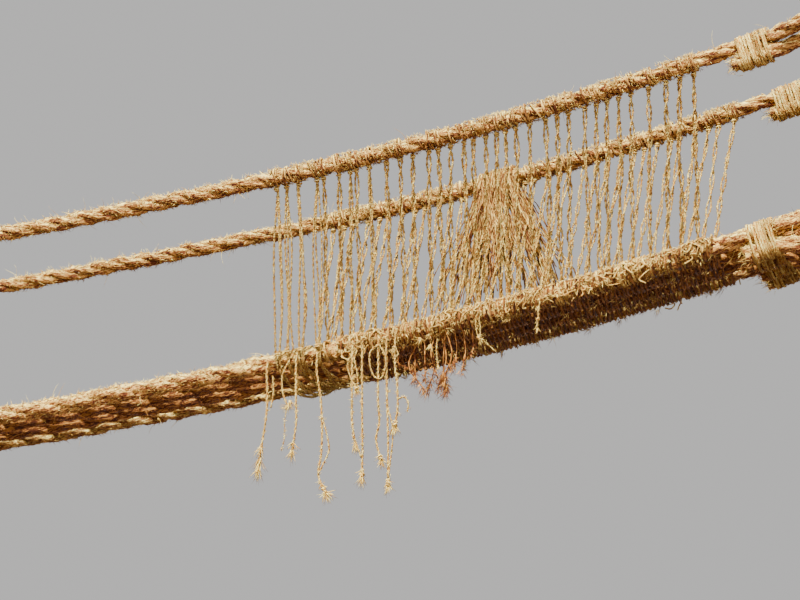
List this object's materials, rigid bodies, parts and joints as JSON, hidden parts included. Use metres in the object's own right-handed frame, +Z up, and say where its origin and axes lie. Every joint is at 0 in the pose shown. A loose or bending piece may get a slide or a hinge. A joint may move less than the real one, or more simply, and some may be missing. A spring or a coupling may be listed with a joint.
{
  "type": "rope suspension footbridge",
  "caption": "Hand-laid grass rope footbridge hung between post frames, with floor ropes, handrails and side nets woven only near the banks.",
  "frame": {"origin": "centre of the foot of the east post that carries the near handrail, on its flat sawn face", "axes": "+X along the bridge towards the east bank, +Y across the bridge from the near handrail to the far one, +Z up"},
  "size_m": [29.6224, 1.96, 3.2097],
  "materials": {
    "grass_rope": "thick hand-laid rope of dry grass, three strands, pale straw with brown shade between the strands",
    "grass_cord": "thin two-strand grass cord, hairy and uneven",
    "deck_cord": "dense turns of grass cord drawn tight across the floor ropes, red-brown underneath",
    "deck_brush": "loose dry grass and thin sticks laid on the deck",
    "weathered_wood": "peeled log, grey and cracked along the grain"
  },
  "bodies": {
    "root": {"handrail_near_east": "grass_rope", "handrail_far_east": "grass_rope", "floor_rope_1_east": "grass_rope", "floor_rope_2_east": "grass_rope", "floor_rope_3_east": "grass_rope", "floor_rope_4_east": "grass_rope", "handrail_near_middle": "grass_rope", "handrail_far_middle": "grass_rope", "floor_rope_1_middle": "grass_rope", "floor_rope_2_middle": "grass_rope", "floor_rope_3_middle": "grass_rope", "floor_rope_4_middle": "grass_rope", "handrail_near_west": "grass_rope", "handrail_far_west": "grass_rope", "floor_rope_1_west": "grass_rope", "floor_rope_2_west": "grass_rope", "floor_rope_3_west": "grass_rope", "floor_rope_4_west": "grass_rope", "post_east_near": "weathered_wood", "side_net_east_near_1": "grass_cord", "side_net_east_near_2": "grass_cord", "post_east_far": "weathered_wood", "side_net_east_far_1": "grass_cord", "side_net_east_far_2": "grass_cord", "cross_log_east": "weathered_wood", "deck_lashing_east": "deck_cord", "deck_mat_east": "deck_brush", "post_west_near": "weathered_wood", "side_net_west_near_1": "grass_cord", "side_net_west_near_2": "grass_cord", "post_west_far": "weathered_wood", "side_net_west_far_1": "grass_cord", "side_net_west_far_2": "grass_cord", "cross_log_west": "weathered_wood", "deck_lashing_west": "deck_cord", "deck_mat_west": "deck_brush", "hanging_tail_1": "grass_cord", "hanging_tail_2": "grass_cord", "hanging_tail_3": "grass_cord", "hanging_tail_4": "grass_cord", "hanging_tail_5": "grass_cord", "hanging_tail_6": "grass_cord", "hanging_tail_7": "grass_cord", "hanging_tail_8": "grass_cord"}
  },
  "joints": []
}
